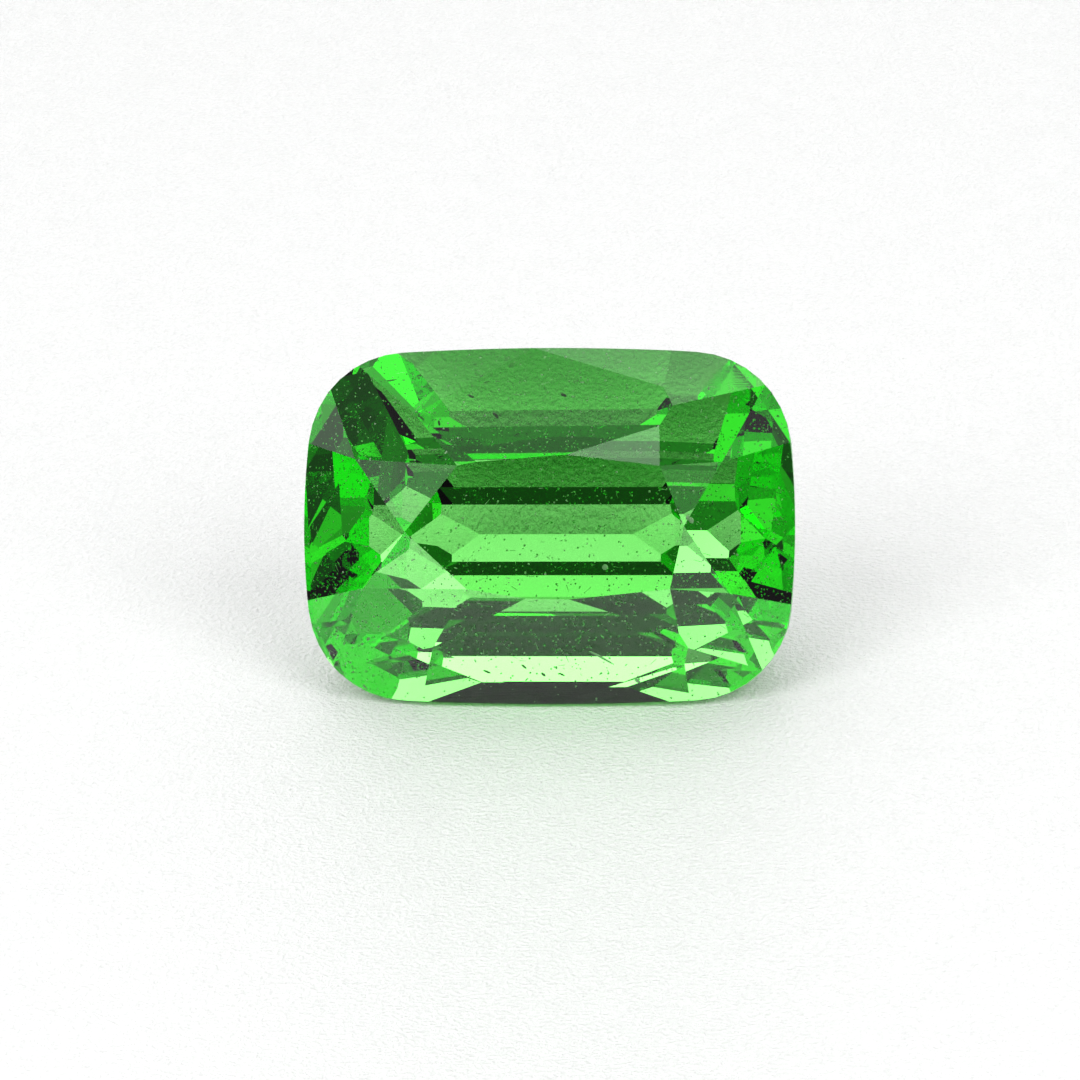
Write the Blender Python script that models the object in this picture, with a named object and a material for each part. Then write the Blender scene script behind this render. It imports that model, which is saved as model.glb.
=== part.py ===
# A cushion cut tsavorite garnet: one faceted stone, lying on a long facet below its girdle.
# It is cut table up (+Z) with its length along X, in millimetres, then scaled and leaned over.
import math

import bmesh
import bpy
from mathutils import Matrix, Vector
from mathutils.geometry import intersect_line_line_2d

# Driving dimensions, in millimetres
LENGTH = 8.2
WIDTH = 5.94
CROWN_HEIGHT = 1.1
GIRDLE_THICKNESS = 0.18
LONG_SIDE_RADIUS = 45.0
END_RADIUS = 13.0
CORNER_RADIUS = 1.67
ROUGH_DEPTH = 6.0
ARC_STEPS = 8
CUT_TOLERANCE = 0.0005
WELD_DISTANCE = 0.002
METRES_PER_MILLIMETRE = 0.001

# Crown, anticlockwise from the north. Each row has the direction that a main facet faces, the
# bearing of its tip on the girdle, its corner on the table, the slope of the star facet that
# follows it, and the bearing of the girdle point between it and the next main facet.
CROWN = [
    (96, 95, (-0.17, 1.22), 28, 138),
    (128, 148, (-1.45, 0.98), 20.5, 161),
    (180, 182, (-2.32, -0.12), 21, 197),
    (236, 213, (-1.29, -1.07), 27, 235),
    (268, 271, (0.03, -1.28), 24, 309),
    (317, 326, (2.08, -1.07), 23.5, 342),
    (3, 0, (2.31, -0.03), 23, 19),
    (41, 33, (1.91, 0.97), 18, 55),
]

# Pavilion. Each column of facets faces one bearing. It has the facets' slopes, from the girdle
# inwards, and how far from the stone's middle the ridges between them are. The columns east of
# the middle are repeated west of it.
NORTH = 90
SOUTH = -90
PAVILION = [
    (NORTH, [55.0, 48.5, 33.0], [0.69, 0.40]),
    (57.5, [67.0, 36.0], [2.85]),
    (35, [57.5, 54.5], [3.86]),
    (0, [74.5, 29.0, 19.0], [3.28, 2.01]),
    (-36.5, [73.5, 37.5], [3.64]),
    (-78, [60.0, 48.0], [1.31]),
    (SOUTH, [64.0, 48.5, 25.0], [1.92, 0.56]),
]

STONE_COLOUR = (0.12, 0.72, 0.10, 1.0)
STONE_ROUGHNESS = 0.02


def remove_old_objects():
    for old in list(bpy.data.objects):
        bpy.data.objects.remove(old, do_unlink=True)


def direction(bearing):
    angle = math.radians(bearing)
    return Vector((math.cos(angle), math.sin(angle)))


def arc(centre, radius, start, end):
    steps = [start + (end - start) * i / ARC_STEPS for i in range(ARC_STEPS + 1)]
    return [centre + radius * direction(bearing) for bearing in steps]


def corner_centre(side_centre, end_centre):
    # The corner's arc touches the long side's arc and the end's arc from inside
    to_side = LONG_SIDE_RADIUS - CORNER_RADIUS
    to_end = END_RADIUS - CORNER_RADIUS
    between = side_centre - end_centre
    along = (to_end ** 2 - to_side ** 2 + between.length_squared) / (2 * between.length)
    across = math.sqrt(to_end ** 2 - along ** 2)
    unit = between.normalized()
    return end_centre + along * unit + across * Vector((-unit.y, unit.x))


def bearing_of(vector):
    return math.degrees(math.atan2(vector.y, vector.x))


def girdle_outline():
    side_centre = Vector((0, WIDTH / 2 - LONG_SIDE_RADIUS))
    end_centre = Vector((LENGTH / 2 - END_RADIUS, 0))
    corner = corner_centre(side_centre, end_centre)
    end_join = bearing_of(corner - end_centre)
    side_join = bearing_of(corner - side_centre)
    quarter = arc(end_centre, END_RADIUS, 0, end_join)
    quarter += arc(corner, CORNER_RADIUS, end_join, side_join)[1:]
    quarter += arc(side_centre, LONG_SIDE_RADIUS, side_join, NORTH)[1:]
    half = quarter + [Vector((-point.x, point.y)) for point in reversed(quarter[:-1])]
    return half + [-point for point in half[1:-1]]


def girdle_point(outline, bearing):
    # Where a line from the stone's middle meets the outline
    far_point = direction(bearing) * LENGTH
    for start, end in zip(outline, outline[1:] + outline[:1]):
        meeting = intersect_line_line_2d(Vector((0, 0)), far_point, start, end)
        if meeting:
            return meeting
    raise ValueError(f"no girdle point at bearing {bearing}")


def reach(outline, bearing):
    facing = direction(bearing)
    return max(point.dot(facing) for point in outline)


def plane_through(a, b, c):
    normal = (b - a).cross(c - a).normalized()
    return a, normal if normal.z > 0 else -normal


def meeting_point(planes):
    normals = Matrix([normal for point, normal in planes])
    distances = Vector([normal.dot(point) for point, normal in planes])
    return normals.inverted() @ distances


def main_facet(outline, row):
    facing, tip_bearing, corner, star_slope, break_bearing = row
    unit = direction(facing)
    run = (girdle_point(outline, tip_bearing) - Vector(corner)).dot(unit)
    normal = Vector((*(unit * CROWN_HEIGHT / run), 1)).normalized()
    return Vector((*corner, CROWN_HEIGHT)), normal


def star_facet(row, next_row):
    start = Vector((*row[2], CROWN_HEIGHT))
    edge = Vector((*next_row[2], CROWN_HEIGHT)) - start
    outward = Vector((edge.y, -edge.x, 0)).normalized()
    slope = math.radians(row[3])
    return start, outward * math.sin(slope) + Vector((0, 0, math.cos(slope)))


def crown_planes(outline):
    planes = [(Vector((0, 0, CROWN_HEIGHT)), Vector((0, 0, 1)))]
    for row, next_row in zip(CROWN, CROWN[1:] + CROWN[:1]):
        main = main_facet(outline, row)
        star = star_facet(row, next_row)
        star_tip = meeting_point([main, star, main_facet(outline, next_row)])
        girdle_break = girdle_point(outline, row[4]).to_3d()
        planes += [main, star]
        for tip_bearing in (row[1], next_row[1]):
            main_tip = girdle_point(outline, tip_bearing).to_3d()
            planes.append(plane_through(star_tip, main_tip, girdle_break))
    return planes


def pavilion_columns():
    for bearing, slopes, ridges in PAVILION:
        yield bearing, slopes, ridges
        if bearing not in (NORTH, SOUTH):
            yield 180 - bearing, slopes, ridges


def column_planes(outline, bearing, slopes, ridges):
    unit = direction(bearing)
    distance = reach(outline, bearing)
    depth = GIRDLE_THICKNESS
    for slope, ridge in zip(slopes, ridges + [0]):
        angle = math.radians(slope)
        start = Vector((*(unit * distance), -depth))
        yield start, Vector((*(unit * math.sin(angle)), -math.cos(angle)))
        depth += (distance - ridge) * math.tan(angle)
        distance = ridge


def pavilion_planes(outline):
    planes = []
    for bearing, slopes, ridges in pavilion_columns():
        planes += column_planes(outline, bearing, slopes, ridges)
    return planes


def rough_stone(outline):
    # The girdle's outline, drawn down from the table to below the keel
    bm = bmesh.new()
    rim = [bm.verts.new((*point, CROWN_HEIGHT)) for point in outline]
    top = bm.faces.new(rim)
    drawn = bmesh.ops.extrude_face_region(bm, geom=[top])["geom"]
    lower = [item for item in drawn if isinstance(item, bmesh.types.BMVert)]
    bmesh.ops.translate(bm, verts=lower, vec=(0, 0, -CROWN_HEIGHT - ROUGH_DEPTH))
    bmesh.ops.recalc_face_normals(bm, faces=bm.faces)
    return bm


def cut_facet(bm, plane):
    point, normal = plane
    everything = bm.verts[:] + bm.edges[:] + bm.faces[:]
    bmesh.ops.bisect_plane(
        bm, geom=everything, dist=CUT_TOLERANCE, plane_co=point, plane_no=normal, clear_outer=True)
    rim = [edge for edge in bm.edges if edge.is_boundary]
    if rim:
        bmesh.ops.holes_fill(bm, edges=rim, sides=0)


def facet_the_stone(outline):
    bm = rough_stone(outline)
    for plane in crown_planes(outline)[1:] + pavilion_planes(outline):
        cut_facet(bm, plane)
    bmesh.ops.remove_doubles(bm, verts=bm.verts, dist=WELD_DISTANCE)
    bmesh.ops.dissolve_degenerate(bm, edges=bm.edges, dist=WELD_DISTANCE)
    bmesh.ops.recalc_face_normals(bm, faces=bm.faces)
    return bm


def lean_angle():
    # The stone lies on the facet that is next to the girdle in its south column
    slopes = [slopes for bearing, slopes, ridges in PAVILION if bearing == SOUTH][0]
    return math.radians(slopes[0])


def lay_down(bm):
    # The resting facet turns to face straight down, and the origin goes under the stone's middle
    turn = Matrix.Rotation(lean_angle(), 4, "X")
    bm.transform(Matrix.Scale(METRES_PER_MILLIMETRE, 4) @ turn)
    lowest = Vector([min(vert.co[axis] for vert in bm.verts) for axis in range(3)])
    highest = Vector([max(vert.co[axis] for vert in bm.verts) for axis in range(3)])
    middle = (lowest + highest) / 2
    bmesh.ops.translate(bm, verts=bm.verts, vec=(-middle.x, -middle.y, -lowest.z))


def tsavorite_material():
    material = bpy.data.materials.new("tsavorite")
    material.use_nodes = True
    shader = material.node_tree.nodes["Principled BSDF"]
    shader.inputs["Base Color"].default_value = STONE_COLOUR
    shader.inputs["Roughness"].default_value = STONE_ROUGHNESS
    shader.inputs["Metallic"].default_value = 0.0
    return material


def cushion_stone():
    bm = facet_the_stone(girdle_outline())
    lay_down(bm)
    mesh = bpy.data.meshes.new("cushion_stone")
    bm.to_mesh(mesh)
    bm.free()
    mesh.materials.append(tsavorite_material())
    stone = bpy.data.objects.new("cushion_stone", mesh)
    bpy.context.collection.objects.link(stone)


remove_old_objects()
cushion_stone()
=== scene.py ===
import math
import random

import bmesh
import bpy
from mathutils import Matrix, Vector


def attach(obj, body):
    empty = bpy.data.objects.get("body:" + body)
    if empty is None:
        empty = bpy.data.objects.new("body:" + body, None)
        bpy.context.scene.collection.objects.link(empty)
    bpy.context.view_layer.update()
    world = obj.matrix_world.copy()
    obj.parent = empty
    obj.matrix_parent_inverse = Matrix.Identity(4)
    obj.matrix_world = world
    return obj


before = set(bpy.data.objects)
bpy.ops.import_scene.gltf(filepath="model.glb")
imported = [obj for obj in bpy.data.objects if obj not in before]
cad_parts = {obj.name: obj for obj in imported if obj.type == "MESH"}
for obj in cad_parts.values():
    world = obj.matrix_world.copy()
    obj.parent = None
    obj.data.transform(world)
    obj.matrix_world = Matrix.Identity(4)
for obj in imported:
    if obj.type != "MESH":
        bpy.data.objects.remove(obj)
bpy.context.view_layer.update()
mm = 0.001  # the lists below are in millimetres


# Shader trees

class Sum:  # wraps a node's output, so that shader maths is written as plain Python
    def __init__(self, tree, socket):
        self.tree = tree
        self.socket = socket

    def maths(self, operation, first, second):
        return self.tree.node("ShaderNodeMath", {"operation": operation}, [first, second])

    def __add__(self, other):
        return self.maths("ADD", self, other)

    def __sub__(self, other):
        return self.maths("SUBTRACT", self, other)

    def __rsub__(self, other):
        return self.maths("SUBTRACT", other, self)

    def __mul__(self, other):
        return self.maths("MULTIPLY", self, other)

    __radd__ = __add__
    __rmul__ = __mul__


class Tree:
    def __init__(self, owner):
        owner.use_nodes = True
        self.nodes = owner.node_tree.nodes
        self.links = owner.node_tree.links
        self.nodes.clear()

    def node(self, kind, settings={}, values={}, output=0):
        made = self.nodes.new(kind)
        for name, value in settings.items():
            setattr(made, name, value)
        pairs = values.items() if isinstance(values, dict) else enumerate(values)
        for name, value in pairs:
            if isinstance(value, Sum):
                self.links.new(value.socket, made.inputs[name])
            else:
                made.inputs[name].default_value = value
        return Sum(self, made.outputs[output] if made.outputs else None)

    def step(self, value, low, high):  # 0 below low, 1 above high, smooth between
        return self.node("ShaderNodeMapRange", {"interpolation_type": "SMOOTHSTEP"},
                         {"Value": value, "From Min": low, "From Max": high})

    def noise(self, where, scale, detail=2.0, roughness=0.5):
        return self.node("ShaderNodeTexNoise", {},
                         {"Vector": where, "Scale": scale, "Detail": detail, "Roughness": roughness})

    def measure(self, operation, first, second):  # a number from two vectors
        return self.node("ShaderNodeVectorMath", {"operation": operation}, [first, second], "Value")

    def mixColours(self, share, first, second):  # the first colour at 0, the second at 1
        return self.node("ShaderNodeMix", {"data_type": "RGBA"},
                         {"Factor": share, "A": first, "B": second}, "Result")


# How the stone lies: its own frame has the table facet up and the length along X

pose = {
    "lean": 64.0,  # degrees that the table facet leans towards the viewer
    "middle": (0.0, -1.0489, 2.7483),  # the middle of the girdle
}
stoneFrame = (Matrix.Translation(Vector(pose["middle"]) * mm)
              @ Matrix.Rotation(math.radians(pose["lean"]), 4, "X")
              @ Matrix.Scale(mm, 4))
stoneTurn = stoneFrame.to_3x3().normalized()
tableFacing = stoneTurn @ Vector((0, 0, 1))


def inStone(tree):  # Object coordinates turned into the stone's own frame, in millimetres
    where = tree.node("ShaderNodeTexCoord", output="Object")
    return tree.node("ShaderNodeMapping", {"vector_type": "TEXTURE"}, {
        "Vector": where, "Location": Vector(pose["middle"]) * mm,
        "Rotation": (math.radians(pose["lean"]), 0, 0), "Scale": (mm, mm, mm)})


# The garnet: clear, strongly bending, green by what it takes out of the light on the way through

garnet = {
    "index": 1.74,
    "absorbed": (0.285, 0.012, 0.33),  # share of red, green and blue taken off, per millimetre
    "spareDensity": 1.02,  # density over the largest share, which keeps each colour above 0
    "zoneColours": ((0.985, 1.0, 0.98, 1), (1.0, 1.0, 1.0, 1)),  # faint, from zone to zone
    "zoneScale": 0.5,
    "polishRoughness": 0.004,
    "girdleRoughness": 0.38,
    "girdleEdge": (0.0005, 0.002),  # squared cosine to the way the table faces, ground to polished
    "girdleGrain": 70.0,
    "girdleRelief": 0.5,
    "wornPatch": (3.02, 2.44, 0.3),  # a crown corner with polishing lines left on it
    "wornReach": 0.55,
    "wornCore": 0.45,  # share of the reach that is worn all over
    "wornColour": (0.93, 0.80, 0.68, 1),
    "wornRoughness": 0.05,
    "wornRelief": 0.3,
    "lineTurn": 0.7,  # radians, about the stone's own upright
    "lineScale": (3, 60, 3),
    "reliefStrength": 0.35,
    "reliefDepth": 0.02,
}


def garnetMaterial():
    made = bpy.data.materials.new("polished green garnet")
    tree = Tree(made)
    where = inStone(tree)
    facing = tree.node("ShaderNodeTexCoord", output="Normal")
    tableward = tree.measure("DOT_PRODUCT", facing, tableFacing)
    bruted = 1 - tree.step(tableward * tableward, *garnet["girdleEdge"])  # the girdle's side alone
    fromPatch = tree.measure("DISTANCE", where, garnet["wornPatch"])
    worn = 1 - tree.step(fromPatch, garnet["wornReach"] * garnet["wornCore"], garnet["wornReach"])
    along = tree.node("ShaderNodeMapping", {}, {
        "Vector": where, "Rotation": (0, 0, garnet["lineTurn"]), "Scale": garnet["lineScale"]})
    lines = tree.noise(along, 1.0)
    grains = tree.noise(where, garnet["girdleGrain"], detail=3.0)
    zoning = tree.noise(where, garnet["zoneScale"], detail=1.0)
    rough = (garnet["polishRoughness"] + bruted * garnet["girdleRoughness"]
             + worn * garnet["wornRoughness"])
    relief = bruted * grains * garnet["girdleRelief"] + worn * lines * garnet["wornRelief"]
    normal = tree.node("ShaderNodeBump", {}, {
        "Strength": garnet["reliefStrength"], "Distance": garnet["reliefDepth"] * mm,
        "Height": relief})
    clear = tree.mixColours(zoning, *garnet["zoneColours"])
    tint = tree.mixColours(worn, clear, garnet["wornColour"])
    shader = tree.node("ShaderNodeBsdfPrincipled", {}, {
        "Base Color": tint, "Roughness": rough, "IOR": garnet["index"],
        "Transmission Weight": 1.0, "Normal": normal})
    taken = garnet["absorbed"]
    density = max(taken) * garnet["spareDensity"]
    depth = tree.node("ShaderNodeVolumeAbsorption", {}, {
        "Color": (*(1 - share / density for share in taken), 1), "Density": density / mm})
    tree.node("ShaderNodeOutputMaterial", {}, {"Surface": shader, "Volume": depth})
    return made


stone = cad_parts["cushion_stone"]
for place in stone.material_slots:
    place.material = garnetMaterial()
print("stone dressed")


# Crystals grown into the stone: pinpoints, needles, flakes and a few larger crystals

inclusions = {
    "seed": 11,
    "block": ((-4, 4), (-3, 3), (-4.4, 1.0)),  # where places are drawn from, in the stone's own frame
    "clearance": 0.05,  # kept from the facets
    "pinpoints": 900,
    "pinpointRadius": (0.012, 0.023),
    "pinpointAcross": (0.7, 1),  # shares of the radius
    "pinpointThrough": (0.6, 1),
    "batch": 60,  # pinpoints made in one go
    "needles": 90,
    "needleLength": (0.06, 0.16),
    "needleRadii": (0.006, 0.003),
    "needleSides": 5,
    "flakes": 60,
    "flakeRadius": (0.02, 0.05),
    "flakeAcross": (0.4, 0.8),
    "flakeThrough": 0.12,
    # the larger ones: place in the stone's own frame, radius, and share of it across and through
    "pale": [
        ((2.28, 0.07, 0.5), 0.06, (1.0, 0.8, 0.4)),
        ((0.98, -0.70, 0.4), 0.05, (1.0, 1.0, 0.5)),
        ((0.91, -2.10, 0.1), 0.24, (1.0, 0.09, 0.07)),
        ((0.78, -2.02, 0.12), 0.11, (1.0, 0.16, 0.1)),
        ((1.48, -2.50, 0.0), 0.06, (1.0, 0.6, 0.4)),
    ],
    "dark": [
        ((-0.85, 1.75, 0.3), 0.07, (1.0, 0.45, 0.3)),
        ((0.27, 2.10, 0.2), 0.06, (1.0, 0.5, 0.3)),
        ((-1.28, 2.10, 0.2), 0.06, (1.0, 0.35, 0.3)),
        ((-1.02, -2.37, 0.1), 0.07, (1.0, 0.3, 0.3)),
        ((-0.40, -2.27, 0.1), 0.06, (1.0, 0.35, 0.3)),
        ((-0.08, -2.42, 0.1), 0.05, (1.0, 0.5, 0.3)),
        ((0.23, -2.42, 0.1), 0.055, (1.0, 0.35, 0.3)),
        ((-0.70, -1.90, 0.2), 0.09, (1.0, 0.12, 0.1)),
    ],
    "largerTurn": (-0.9, -0.4),  # radians, about the stone's own upright
}

minerals = {
    "pale": ((0.93, 0.96, 0.92), 0.35),  # colour, roughness
    "dark": ((0.03, 0.07, 0.03), 0.3),
    "index": 1.6,
    "cloudScale": 4000.0,  # per metre
    "cloudShade": 0.7,  # share of the colour left in the clouds
    "cloudRoughness": 0.2,
}


def facetPlanes(node):  # one plane for each facet, however many triangles the facet has
    digits = 2
    planes = {}
    for face in node.data.polygons:
        normal = face.normal.copy()
        height = normal.dot(face.center) / mm
        planes[tuple(round(value, digits) for value in (*normal, height))] = (normal, height)
    return list(planes.values())


def isInside(point, planes, room):
    return all(normal.dot(point) < height - room for normal, height in planes)


def randomTurn(dice):
    turn = Matrix.Identity(4)
    for axis in "XYZ":
        turn = turn @ Matrix.Rotation(dice.uniform(0, math.tau), 4, axis)
    return turn


def somewhereInside(dice, planes, room):
    while True:
        own = Vector([dice.uniform(low, high) for low, high in inclusions["block"]])
        point = stoneFrame @ own / mm
        if isInside(point, planes, room):
            return point


def finishPiece(name, bm, material):
    bmesh.ops.scale(bm, verts=bm.verts, vec=(mm, mm, mm))
    bmesh.ops.recalc_face_normals(bm, faces=bm.faces)
    mesh = bpy.data.meshes.new(name)
    bm.to_mesh(mesh)
    bm.free()
    mesh.materials.append(material)
    piece = bpy.data.objects.new(name, mesh)
    bpy.context.collection.objects.link(piece)
    return piece


def mineralMaterial(name, colour, roughness):
    made = bpy.data.materials.new(name)
    tree = Tree(made)
    where = tree.node("ShaderNodeTexCoord", output="Object")
    cloud = tree.noise(where, minerals["cloudScale"])
    shaded = tuple(part * minerals["cloudShade"] for part in colour)
    mixed = tree.mixColours(cloud, (*shaded, 1), (*colour, 1))
    shader = tree.node("ShaderNodeBsdfPrincipled", {}, {
        "Base Color": mixed, "Roughness": roughness + cloud * minerals["cloudRoughness"],
        "IOR": minerals["index"]})
    tree.node("ShaderNodeOutputMaterial", {}, {"Surface": shader})
    return made


def addGrain(bm, point, radius, shape, dice):
    place = Matrix.Translation(point) @ randomTurn(dice) @ Matrix.Diagonal((*shape, 1))
    bmesh.ops.create_icosphere(bm, subdivisions=1, radius=radius, matrix=place)


def inBatches(count, addOne):  # operators slow down as one bmesh grows, so it grows by batches
    whole = bmesh.new()
    batch = bpy.data.meshes.new("batch")
    for start in range(0, count, inclusions["batch"]):
        part = bmesh.new()
        for number in range(start, min(start + inclusions["batch"], count)):
            addOne(part)
        part.to_mesh(batch)
        part.free()
        whole.from_mesh(batch)
    bpy.data.meshes.remove(batch)
    return whole


def pinpoints(planes, material):
    dice = random.Random(inclusions["seed"])

    def addOne(bm):
        radius = dice.uniform(*inclusions["pinpointRadius"])
        point = somewhereInside(dice, planes, inclusions["clearance"])
        across = dice.uniform(*inclusions["pinpointAcross"])
        through = dice.uniform(*inclusions["pinpointThrough"])
        addGrain(bm, point, radius, (1, across, through), dice)

    return finishPiece("pinpoint_crystals", inBatches(inclusions["pinpoints"], addOne), material)


def needles(planes, material):
    dice = random.Random(inclusions["seed"] + 1)
    thick, thin = inclusions["needleRadii"]
    bm = bmesh.new()
    for number in range(inclusions["needles"]):
        length = dice.uniform(*inclusions["needleLength"])
        point = somewhereInside(dice, planes, inclusions["clearance"] + length)
        place = Matrix.Translation(point) @ randomTurn(dice)
        bmesh.ops.create_cone(bm, cap_ends=True, segments=inclusions["needleSides"], radius1=thick,
                              radius2=thin, depth=length, matrix=place)
    return finishPiece("needle_crystals", bm, material)


def flakes(planes, material):
    dice = random.Random(inclusions["seed"] + 2)
    bm = bmesh.new()
    for number in range(inclusions["flakes"]):
        radius = dice.uniform(*inclusions["flakeRadius"])
        point = somewhereInside(dice, planes, inclusions["clearance"] + radius)
        across = dice.uniform(*inclusions["flakeAcross"])
        addGrain(bm, point, radius, (1, across, inclusions["flakeThrough"]), dice)
    return finishPiece("flake_crystals", bm, material)


def largerCrystals(name, listed, planes, material):
    dice = random.Random(inclusions["seed"] + 3)
    bm = bmesh.new()
    for own, radius, shape in listed:
        point = stoneFrame @ Vector(own) / mm
        if not isInside(point, planes, inclusions["clearance"]):
            raise ValueError(f"{name}: {own} isn't inside the stone")
        turn = stoneTurn.to_4x4() @ Matrix.Rotation(dice.uniform(*inclusions["largerTurn"]), 4, "Z")
        place = Matrix.Translation(point) @ turn @ Matrix.Diagonal((*shape, 1))
        bmesh.ops.create_icosphere(bm, subdivisions=2, radius=radius, matrix=place)
    return finishPiece(name, bm, material)


paleMineral = mineralMaterial("pale crystal", *minerals["pale"])
darkMineral = mineralMaterial("dark crystal", *minerals["dark"])
stonePlanes = facetPlanes(stone)
grown = [
    pinpoints(stonePlanes, paleMineral),
    needles(stonePlanes, paleMineral),
    flakes(stonePlanes, paleMineral),
    largerCrystals("larger_pale_crystals", inclusions["pale"], stonePlanes, paleMineral),
    largerCrystals("larger_dark_crystals", inclusions["dark"], stonePlanes, darkMineral),
]
for piece in grown:
    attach(piece, "root")
print("inclusions grown")


# The white table that the stone lies on

table = {
    "reach": 1.5,  # metres
    "albedo": 0.515,
    "speckAlbedo": (0.90, 0.91, 0.905),  # share of it left in the specks' red, green and blue
    "speckEdge": (0.25, 0.75),
    "roughness": 0.45,
    "grain": 0.085,  # size of the grain in millimetres
    "stretch": 1.1,  # the grain is longer along X
    "grainRoughness": 0.6,
    "cloudScale": 0.12,  # clouds in the length of one grain
    "cloudShare": 0.2,
    "relief": 1.0,
    "reliefDepth": 0.8,  # in grains
}


def tableMaterial():
    made = bpy.data.materials.new("white grained board")
    tree = Tree(made)
    where = tree.node("ShaderNodeTexCoord", output="Object")
    size = table["grain"] * mm
    place = tree.node("ShaderNodeMapping", {}, {
        "Vector": where, "Scale": (1 / size / table["stretch"], 1 / size, 1 / size)})
    grain = tree.noise(place, 1.0, detail=3.0, roughness=table["grainRoughness"])
    cloud = tree.noise(place, table["cloudScale"])
    mottle = grain * (1 - table["cloudShare"]) + cloud * table["cloudShare"]
    white = table["albedo"]
    speck = tuple(white * share for share in table["speckAlbedo"])
    colour = tree.mixColours(tree.step(mottle, *table["speckEdge"]), (*speck, 1), (white, white, white, 1))
    normal = tree.node("ShaderNodeBump", {}, {
        "Strength": table["relief"], "Distance": size * table["reliefDepth"], "Height": grain})
    shader = tree.node("ShaderNodeBsdfPrincipled", {}, {
        "Base Color": colour, "Roughness": table["roughness"], "Normal": normal})
    tree.node("ShaderNodeOutputMaterial", {}, {"Surface": shader})
    return made


def makeTable():
    bm = bmesh.new()
    bmesh.ops.create_grid(bm, x_segments=1, y_segments=1, size=table["reach"])
    mesh = bpy.data.meshes.new("table_top")
    bm.to_mesh(mesh)
    bm.free()
    mesh.materials.append(tableMaterial())
    top = bpy.data.objects.new("table_top", mesh)
    bpy.context.collection.objects.link(top)


makeTable()
print("table laid")


# Camera, straight onto the table facet but a little from the right and from below

shot = {
    "aside": 0.07,  # how far to the right for each unit in front of the table facet
    "below": 0.021,
    "distance": 150.0,
    "width": 18.0,  # millimetres across the picture at the girdle
    "offCentre": (0.15, 0.233),  # where the stone's middle is from the picture's middle
    "sensor": 36.0,
    "nearest": 0.01,  # metres
}
cameraSide = (stoneTurn @ Vector((shot["aside"], -shot["below"], 1))).normalized()
cameraRight = (stoneTurn @ Vector((0, 1, 0))).cross(cameraSide).normalized()
cameraUp = cameraSide.cross(cameraRight)


def makeCamera():
    data = bpy.data.cameras.new("camera")
    data.sensor_width = shot["sensor"]
    data.lens = shot["sensor"] * shot["distance"] / shot["width"]
    data.clip_start = shot["nearest"]
    camera = bpy.data.objects.new("camera", data)
    right, up = shot["offCentre"]
    aim = Vector(pose["middle"]) - cameraRight * right - cameraUp * up
    turn = Matrix((cameraRight, cameraUp, cameraSide)).transposed().to_4x4()
    camera.matrix_world = Matrix.Translation((aim + cameraSide * shot["distance"]) * mm) @ turn
    bpy.context.collection.objects.link(camera)
    bpy.context.scene.camera = camera


makeCamera()
print("camera set")


# A soft light tent: bright behind the stone, open where the camera stands and overhead

tent = {
    "brightness": 1.02,
    "patches": [  # bearing from the front and height in degrees, inner and outer edge, brightness
        (180, 8, 35, 65, 2.1),
        (-135, 50, 12, 32, 2.0),
        (-172, 58, 9, 17, 3.7),
        (80, 25, 20, 50, 0.5),
        (0, 30, 30, 38, 0.05),
        (0, 76, 14, 26, 0.45),
        (-72, 10, 8, 16, 0.12),
        (-62, 56, 8, 16, 0.2),
        (63, 17, 8, 16, 0.1),
        (58, 50, 8, 16, 0.15),
        (-8, 71, 6, 14, 2.0),
    ],
}


def towardsSky(bearing, height):
    bearing = math.radians(bearing)
    height = math.radians(height)
    level = math.cos(height)
    return Vector((math.sin(bearing) * level, -math.cos(bearing) * level, math.sin(height)))


def patch(tree, where, bearing, height, inner, outer):  # 1 inside a round patch of the tent, 0 outside
    towards = tree.measure("DOT_PRODUCT", where, towardsSky(bearing, height))
    return tree.step(towards, math.cos(math.radians(outer)), math.cos(math.radians(inner)))


def makeTent():
    world = bpy.data.worlds.new("light tent")
    bpy.context.scene.world = world
    tree = Tree(world)
    where = tree.node("ShaderNodeTexCoord", output="Generated")
    strength = tent["brightness"]
    for *place, brightness in tent["patches"]:
        strength = strength + patch(tree, where, *place) * (brightness - strength)
    light = tree.node("ShaderNodeBackground", {}, {"Color": (1, 1, 1, 1), "Strength": strength})
    tree.node("ShaderNodeOutputWorld", {}, {"Surface": light})


makeTent()

frontLights = {  # they light the table in front of the stone, and aren't mirrored in the facets
    "bearings": (-38, 42),
    "height": 40,
    "distance": 0.3,  # metres
    "size": 0.2,
    "power": 0.78,
}


def makeFrontLight(bearing):
    data = bpy.data.lights.new("front_light", "AREA")
    data.shape = "DISK"
    data.size = frontLights["size"]
    data.energy = frontLights["power"]
    light = bpy.data.objects.new("front_light", data)
    side = towardsSky(bearing, frontLights["height"])
    turn = side.to_track_quat("Z", "Y").to_matrix().to_4x4()
    light.matrix_world = Matrix.Translation(side * frontLights["distance"]) @ turn
    light.visible_glossy = False
    light.visible_transmission = False
    bpy.context.collection.objects.link(light)


for bearing in frontLights["bearings"]:
    makeFrontLight(bearing)
print("light set")

insideBounces = 16  # light turns many times inside a cut stone
scene = bpy.context.scene
scene.view_settings.view_transform = "Standard"
scene.cycles.max_bounces = insideBounces
scene.cycles.transmission_bounces = insideBounces
scene.cycles.glossy_bounces = insideBounces
scene.cycles.diffuse_bounces = 2
scene.cycles.use_denoising = True
